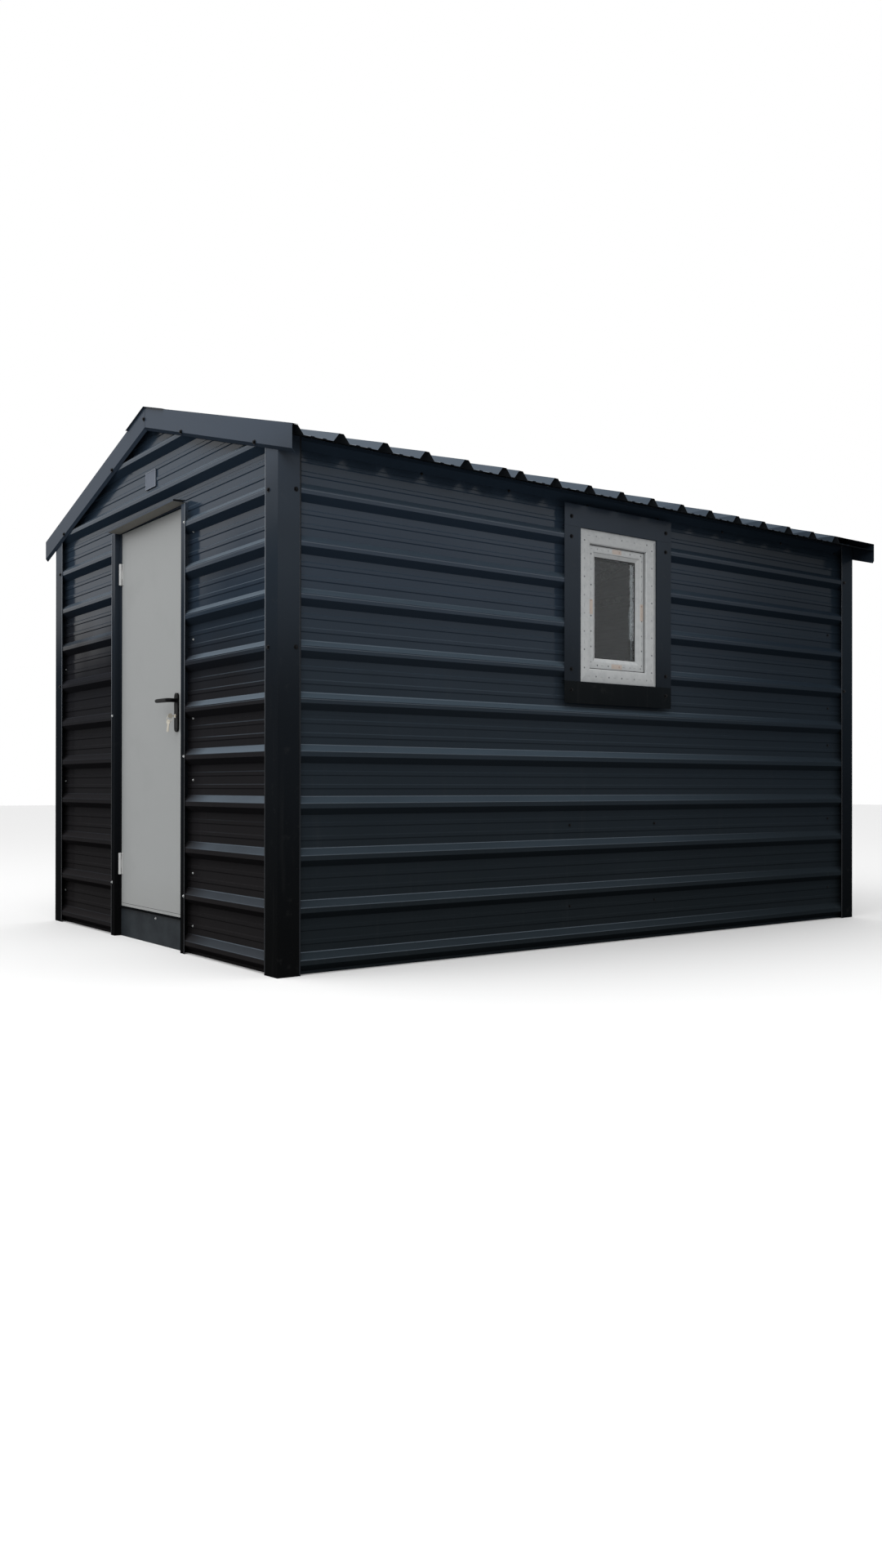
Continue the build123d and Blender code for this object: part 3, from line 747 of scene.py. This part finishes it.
# %% Lofts of ovals
def loft(shape, ovals, sides=20):
    """Joins ovals, each a middle and two half axes in metres, into one closed skin."""
    rings = []
    for middle, across, up in ovals:
        ring = []
        for k in range(sides):
            angle = 2 * math.pi * k / sides
            ring.append(shape.verts.new(middle + across * math.cos(angle) + up * math.sin(angle)))
        rings.append(ring)
    for low, high in zip(rings, rings[1:]):
        for k in range(sides):
            shape.faces.new((low[k - 1], low[k], high[k], high[k - 1]))
    shape.faces.new(rings[0][::-1])
    shape.faces.new(rings[-1])


# %% Screws
washer_outline = [(7, 0), (7, 0.8), (6.2, 1.6), (3, 1.9)]
head_outline = [(4.6, 0), (4.6, 3.6), (4.0, 4.4), (1.5, 4.8)]
head_seat = 1.2


def screw(shape, at, axis, size):
    """A hexagon-headed sheet screw with its washer. Size 1 is a 14 mm washer."""
    turned(shape, at, axis, [(r * size, h) for r, h in washer_outline])
    head = [(r * size, head_seat + h * size) for r, h in head_outline]
    turned(shape, at, axis, head, sides=6, start=random.random())


def wall_screw(shape, wall, along, depth, z, size):
    """A screw at a place on a wall."""
    screw(shape, on_wall(wall, along, depth, z), OUT[wall], size)


random.seed(7)

# %% [markdown]
# ## The window
# The model's frame and sash are plain rings. A real plastic window has rounded corners to its profile, a
# sash that stands back behind a rubber seal, a sloping bead that holds the pane, and mitred corners that
# show as hairlines. Each ring becomes a mitred outline, and replaces the plain one.

# %% Frame, sash, bead and seals
window_span = ((window_low.y - wall_front) / MM, (window_high.y - wall_front) / MM)
window_levels = (window_low.z / MM, window_high.z / MM)
sash_span = ((sash_low.y - wall_front) / MM, (sash_high.y - wall_front) / MM)
sash_levels = (sash_low.z / MM, sash_high.z / MM)
frame_face = (wall_right - window_high.x) / MM
frame_back = (wall_right - window_low.x) / MM
sash_face = (wall_right - sash_high.x) / MM

shape = bmesh.new()
outline = [(0, frame_back), (0, frame_face + 2), (0.6, frame_face + 0.6), (2, frame_face), (58, frame_face)]
outline += [(61, frame_face + 1), (63, frame_face + 3), (65, frame_face + 10), (65, frame_back)]
mitred_ring(shape, "right", window_span, window_levels, outline)
put("window_frame_profile", shape, "root", frame_film, ["window_frame"], smooth=35)

shape = bmesh.new()
outline = [(0, frame_back), (0, sash_face + 3), (1, sash_face + 0.8), (3, sash_face), (30, sash_face)]
outline += [(32, sash_face + 0.6), (33, sash_face + 2), (33.5, sash_face + 3.4), (50, sash_face + 11)]
outline += [(52.6, sash_face + 13.5), (52.6, frame_back)]
mitred_ring(shape, "right", sash_span, sash_levels, outline)
put("window_sash_profile", shape, "root", sash_film, ["window_sash"], smooth=35)

shape = bmesh.new()
seal = [(-0.2, sash_face - 1.2), (-0.2, sash_face + 2), (2.6, sash_face + 2), (2.8, sash_face - 0.4)]
mitred_ring(shape, "right", sash_span, sash_levels, seal)
seal = [(50.5, sash_face + 11.2), (50.5, sash_face + 15), (54.5, sash_face + 15.6), (54.5, sash_face + 13.6)]
mitred_ring(shape, "right", sash_span, sash_levels, seal)
put("window_seals", shape, "root", rubber, smooth=35)

# %% The catch inside
inner_side = sash_span[1] - 26
middle_z = (window_levels[0] + window_levels[1]) / 2
plate_half, grip_half = 14, 9
# Of each part: its half width, depths and heights, and how far its edges are softened.
catch_parts = [
    (plate_half, (0, 9), (-34, 34), 3),
    (grip_half, (9, 34), (-grip_half, grip_half), 3),
    (grip_half, (24, 36), (-116, grip_half), 4),
]
shape = bmesh.new()
for half, depths, levels, soft in catch_parts:
    across = (inner_side - half, inner_side + half)
    inward = [frame_back + depth for depth in depths]
    wall_block(shape, "right", across, inward, [middle_z + level for level in levels], soft)
put("window_catch", shape, "root", catch_shade_grey, smooth=50)

# %% [markdown]
# ## The door's edges
# The leaf is a panel of two steel skins. Each long edge has a narrow strip, and a drip strip runs along the
# bottom edge, with a dark line over it. These are thin folded strips a millimetre proud of the skin.

# %% Edge strips on both faces of the leaf
leaf_low, leaf_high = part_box("door_leaf")
leaf_faces = ((leaf_low.y, -1), (leaf_high.y, 1))
strip_w, strip_t, drip_h, groove, line_t = 9.0, 0.9, 13.0, 1.6, 0.3
left_strip = (leaf_low.x, leaf_low.x + strip_w * MM)
right_strip = (leaf_high.x - strip_w * MM, leaf_high.x)
shape = bmesh.new()
for face, out in leaf_faces:
    near, far = sorted((face, face + out * strip_t * MM))
    bottom = leaf_low.z + (drip_h + groove) * MM
    for low_x, high_x in (left_strip, right_strip):
        block(shape, (low_x, near, bottom), (high_x, far, leaf_high.z), 0.3)
    block(shape, (leaf_low.x, near, leaf_low.z), (leaf_high.x, far, leaf_low.z + drip_h * MM), 0.3)
put("door_edge_strips", shape, "door", skin.material)

# %% The rubber line over the drip strip
shape = bmesh.new()
for face, out in leaf_faces:
    near, far = sorted((face, face + out * line_t * MM))
    low_z = leaf_low.z + drip_h * MM
    block(shape, (leaf_low.x, near, low_z), (leaf_high.x, far, low_z + groove * MM))
put("door_drip_line", shape, "door", rubber)

# %% [markdown]
# ## The lever
# The model's lever is a rod with two square bars. A real one is cast: a round neck that turns into a slim
# arm, a little deeper at the neck than at the end, with a rounded tip. Ovals along that path make the skin.
# The same path, mirrored through the door, makes the lever inside. All its sizes are in metres.

# %% Both levers and their spindle
pin = next(joint for joint in frame["joints"] if joint["name"] == "lever_turn")["pos_m"]
arm_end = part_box("lever_handle")[0].x
reach, bend, neck, spindle = 0.045, 0.016, 0.009, 0.004
arm_start = pin[0] - bend
# Along the arm: the share of its length, and its half depth and half height there.
arm_outline = [
    (0.15, 0.0072, 0.0095),
    (0.5, 0.0065, 0.0092),
    (0.85, 0.006, 0.0086),
    (0.95, 0.0055, 0.0076),
    (0.985, 0.0042, 0.0052),
    (1.0, 0.0015, 0.002),
]
shape = bmesh.new()
for face, out in leaf_faces:
    ovals = []
    for step in (0.002, 0.010, 0.022, reach - bend):
        middle = Vector((pin[0], face + out * step, pin[2]))
        ovals.append((middle, Vector((neck, 0, 0)), Vector((0, 0, neck))))
    for k in range(1, 7):
        angle = math.pi / 2 * k / 6
        x = pin[0] - bend * (1 - math.cos(angle))
        y = face + out * (reach - bend + bend * math.sin(angle))
        across = Vector((math.cos(angle), out * math.sin(angle), 0)) * (neck - 0.0015 * k / 6)
        ovals.append((Vector((x, y, pin[2])), across, Vector((0, 0, neck + 0.0005 * k / 6))))
    for share, half_deep, half_high in arm_outline:
        x = arm_start + (arm_end - arm_start) * share
        middle = Vector((x, face + out * reach, pin[2] + 0.002 * share))
        ovals.append((middle, Vector((0, out * half_deep, 0)), Vector((0, 0, half_high))))
    loft(shape, ovals)
ovals = []
for y in (leaf_low.y - 0.01, leaf_high.y + 0.01):
    ovals.append((Vector((pin[0], y, pin[2])), Vector((spindle, 0, 0)), Vector((0, 0, spindle))))
loft(shape, ovals, sides=4)
put("lever_pair", shape, "lever", handle_black, ["lever_handle"], smooth=50)

# %% Screws and collars of the handle plates
plate_low, plate_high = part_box("handle_plates")
plate_x = (plate_low.x + plate_high.x) / 2
screw_inset = 0.014
shape = bmesh.new()
for face, out in ((plate_low.y, -1), (plate_high.y, 1)):
    for z in (plate_low.z + screw_inset, plate_high.z - screw_inset):
        turned(shape, Vector((plate_x, face, z)), (0, out, 0), [(4, -0.5), (4, 0.6), (3.2, 1.2), (1, 1.4)])
    collar = [(12.5, -0.5), (12.5, 1.4), (11.6, 2.2), (9.4, 2.4), (9.4, 0)]
    turned(shape, Vector((plate_x, face, pin[2])), (0, out, 0), collar, sides=28)
put("handle_plate_screws", shape, "door", handle_black, smooth=40)

# %% [markdown]
# ## The keys
# A bunch hangs from the lock: one key in the cylinder, a wire ring through its bow, and two more keys on
# the ring. A key is a flat bow with a hole and a blade with a few cuts. The bows are turned flat rings.


# %% A key
def key(shape, at, down, flat, blade):
    """A key with its bow at a point and its blade along down. Flat is the way through its thickness."""
    bow, thick = 11.0, 1.1
    bow_outline = [(3, 0), (bow, 0), (bow, 2 * thick), (3, 2 * thick)]
    turned(shape, at - flat * thick * MM, flat, bow_outline, sides=24)
    beside = down.cross(flat)
    cuts = [(0.0, 3.4), (0.25, 3.4), (0.32, 2.4), (0.45, 3.0)]
    cuts += [(0.55, 2.0), (0.7, 3.1), (0.85, 2.2), (1.0, 1.2)]
    rows = []
    for share, half in cuts:
        centre = at + down * (bow - 1 + blade * share) * MM
        row = [centre + beside * side * MM + flat * face * thick * MM * 0.8
               for side, face in ((-3.4, -1), (half, -1), (half, 1), (-3.4, 1))]
        rows.append([shape.verts.new(spot) for spot in row])
    for low, high in zip(rows, rows[1:]):
        for k in range(4):
            shape.faces.new((low[k - 1], low[k], high[k], high[k - 1]))
    shape.faces.new(rows[0][::-1])
    shape.faces.new(rows[-1])


# %% The bunch
lock_low, lock_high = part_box("lock_cylinder")
lock_at = Vector(((lock_low.x + lock_high.x) / 2, lock_low.y, (lock_low.z + lock_high.z) / 2))
shape = bmesh.new()
key(shape, lock_at + Vector((0, -0.022, 0)), Vector((0, 1, 0)), Vector((1, 0, 0)), blade=14.0)
ring_middle = lock_at + Vector((-0.003, -0.024, -0.0125))
ring_r, wire = 0.0125, 0.0011
ring_steps, wire_sides = 40, 8
sideways = Vector((1, 0, 0))
rings = []
for k in range(ring_steps):
    angle = 2 * math.pi * k / ring_steps
    arm = Vector((0, math.sin(angle), math.cos(angle)))
    spot = ring_middle + arm * ring_r
    ring = []
    for i in range(wire_sides):
        turn = 2 * math.pi * i / wire_sides
        ring.append(shape.verts.new(spot + (arm * math.cos(turn) + sideways * math.sin(turn)) * wire))
    rings.append(ring)
for k in range(ring_steps):
    for i in range(wire_sides):
        shape.faces.new((rings[k - 1][i - 1], rings[k - 1][i], rings[k][i], rings[k][i - 1]))
for lean, twist in ((-0.30, 0.35), (-0.08, 0.1)):
    down = Vector((lean, 0, -1)).normalized()
    flat = Matrix.Rotation(twist, 3, "Z") @ Vector((0, 1, 0))
    flat = (flat - down * flat.dot(down)).normalized()
    key(shape, ring_middle + Vector((lean * 0.02, -0.003, -ring_r - 0.002)), down, flat, blade=34.0)
put("key_bunch", shape, "door", key_metal, ["key"], smooth=40)

# %% [markdown]
# ## The screws
# Screws are what makes thin cladding read as real. Bright ones hold the sheets beside the door and the jamb
# trims, and coated ones hold everything else. They sit where the sheet has something behind it: at the
# posts, along the eaves, on two crests of each corner trim. Those of one kind share a mesh. Their places
# are in millimetres, and those that the photograph shows follow it.

# %% Bright screws on the front and back
on_trim, on_pan, on_kick_plate = -2.5, 30.5, 31.5
corner_pan, beside_jamb = 1154.0, 14.0
shape = bmesh.new()
jamb_low, jamb_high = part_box("door_jamb_trims")
jamb_left, jamb_right = jamb_low.x / MM + 12, jamb_high.x / MM - 8
print("screws of the jamb trims at", round(jamb_left), round(jamb_right))
for x, levels in ((jamb_left, (1063, 257)), (jamb_right, (1860, 851, 250))):
    for z in levels:
        wall_screw(shape, "front", x, on_trim, z, 0.9)
for z in (120, 348, 749, 1015, 1355, 1820):
    wall_screw(shape, "front", jamb_high.x / MM + beside_jamb, on_pan, z, 0.8)
    wall_screw(shape, "front", jamb_low.x / MM - beside_jamb, on_pan, z, 0.8)
for z in (167, 749, 1346):
    for x in (-corner_pan, corner_pan):
        wall_screw(shape, "front", x, on_pan, z, 0.9)
    for x in (-corner_pan, 0, corner_pan):
        wall_screw(shape, "back", x, on_pan, z, 0.9)
wall_screw(shape, "front", 27, on_kick_plate, 118, 0.8)
put("bright_screws", shape, "root", bare_zinc, smooth=30)

# %% Coated screws on the walls
corner_crests, gable_leg, side_leg, trim_screw = (1252, 1852), 1150, 76, 1.35
rear_post = length - 177
eaves_start, eaves_step, eaves_level = 687, 469, 2012
on_window_trim = -3.3
shape = bmesh.new()
for z in corner_crests:
    for wall in ("front", "back"):
        for x in (-gable_leg, gable_leg):
            wall_screw(shape, wall, x, on_trim, z, trim_screw)
    for wall in ("left", "right"):
        for y in (side_leg, length - side_leg):
            wall_screw(shape, wall, y, on_trim, z, trim_screw)
for wall in ("left", "right"):
    for y in (1519, 2071):
        for z in (180, 548):
            wall_screw(shape, wall, y, on_pan, z, 1.0)
    for z in (174, 551, 952, 1155, 1558):
        wall_screw(shape, wall, rear_post, on_pan, z, 0.9)
    for k in range(7):
        wall_screw(shape, wall, eaves_start + eaves_step * k, on_pan - 1, eaves_level, 0.9)
for y in (window_span[0] - 58, window_span[1] + 62):
    for z, depth in ((1943, on_window_trim), (1852, on_trim), (1254, on_trim), (1160, on_window_trim)):
        wall_screw(shape, "right", y, depth, z, trim_screw)
put("coated_wall_screws", shape, "root", dark_head, smooth=30)

# %% Screws on the verges, the ridge and the roof
on_verge, on_ridge_cap, on_roof_pan = -15.8, 4.5, -31
cap_line, purlin_lines = 185, (640, 1180)
roof_rib_pitch, first_rib, first_rear_rib = 200, -1, 1089
shape = bmesh.new()
slope = math.tan(roof_pitch)
for x, drop in ((-1060, 88), (-392, 88), (-7, 50), (392, 88), (1060, 88)):
    level = ridge_z - abs(x) * slope - drop
    wall_screw(shape, "front", x, on_verge, level, 1.4)
    wall_screw(shape, "back", x, on_verge, level, 1.4)
ribs_front = [first_rib + roof_rib_pitch * k for k in range(6)]
ribs_rear = [first_rear_rib + roof_rib_pitch * k for k in range(12)]
for side in (-1, 1):
    up = Vector((side * math.sin(roof_pitch), 0, math.cos(roof_pitch)))
    for y in ribs_front[1::2] + ribs_rear[::2]:
        screw(shape, on_roof(side * cap_line, y, on_ridge_cap), up, 0.8)
    for rib in ribs_front[:-1] + ribs_rear[:-1]:
        for x in purlin_lines:
            screw(shape, on_roof(side * x, rib + roof_rib_pitch / 2, on_roof_pan), up, 0.8)
put("coated_roof_screws", shape, "root", dark_head, smooth=30)

# %% The folded rim of the bare badge plate
badge_low, badge_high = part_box("badge_plate")
badge_face = (badge_low.y - wall_front) / MM
lip = badge_face - 1.2
rim = [(0, badge_face + 2), (0, badge_face - 0.8), (0.5, lip), (3, lip), (3.5, badge_face)]
badge_span = (badge_low.x / MM, badge_high.x / MM)
badge_levels = (badge_low.z / MM, badge_high.z / MM)
shape = bmesh.new()
mitred_ring(shape, "front", badge_span, badge_levels, rim)
put("badge_rim", shape, "root", badge_rim, smooth=35)

# %% [markdown]
# ## The hems of the trims
# A folder turns a thin hem along each free edge of a trim, to stiffen it and to hide the cut. It is only
# six millimetres wide, but with its painted highlight it is the bright line that the eye follows up each
# corner of the shed.

# %% Hems on the corner and jamb trims
hem_w, hem_t, hem_soft = 6.0, 1.2, 0.4
trim_face, trim_leg = -2.4, 97.7
corner_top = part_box("corner_trims")[1].z / MM
jamb_top = jamb_high.z / MM
corner_edge = wall_right / MM - trim_leg


def hem(shape, wall, edge, way, top):
    """A hem on a trim's free edge, from the ground up. Way is the side of the edge that the trim is on."""
    wall_block(shape, wall, (edge, edge + way * hem_w), (trim_face - hem_t, trim_face), (0, top), hem_soft)


shape = bmesh.new()
for wall in ("front", "back"):
    for side in (-1, 1):
        hem(shape, wall, side * corner_edge, side, corner_top)
for wall in ("left", "right"):
    for edge, way in ((trim_leg, -1), (length - trim_leg, 1)):
        hem(shape, wall, edge, way, corner_top)
for edge, way in ((jamb_low.x / MM, 1), (jamb_high.x / MM, -1)):
    hem(shape, "front", edge, way, jamb_top)
put("trim_hems", shape, "root", edge_coat.material)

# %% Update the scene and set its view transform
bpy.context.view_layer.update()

scene = bpy.context.scene
scene.view_settings.view_transform = "Standard"
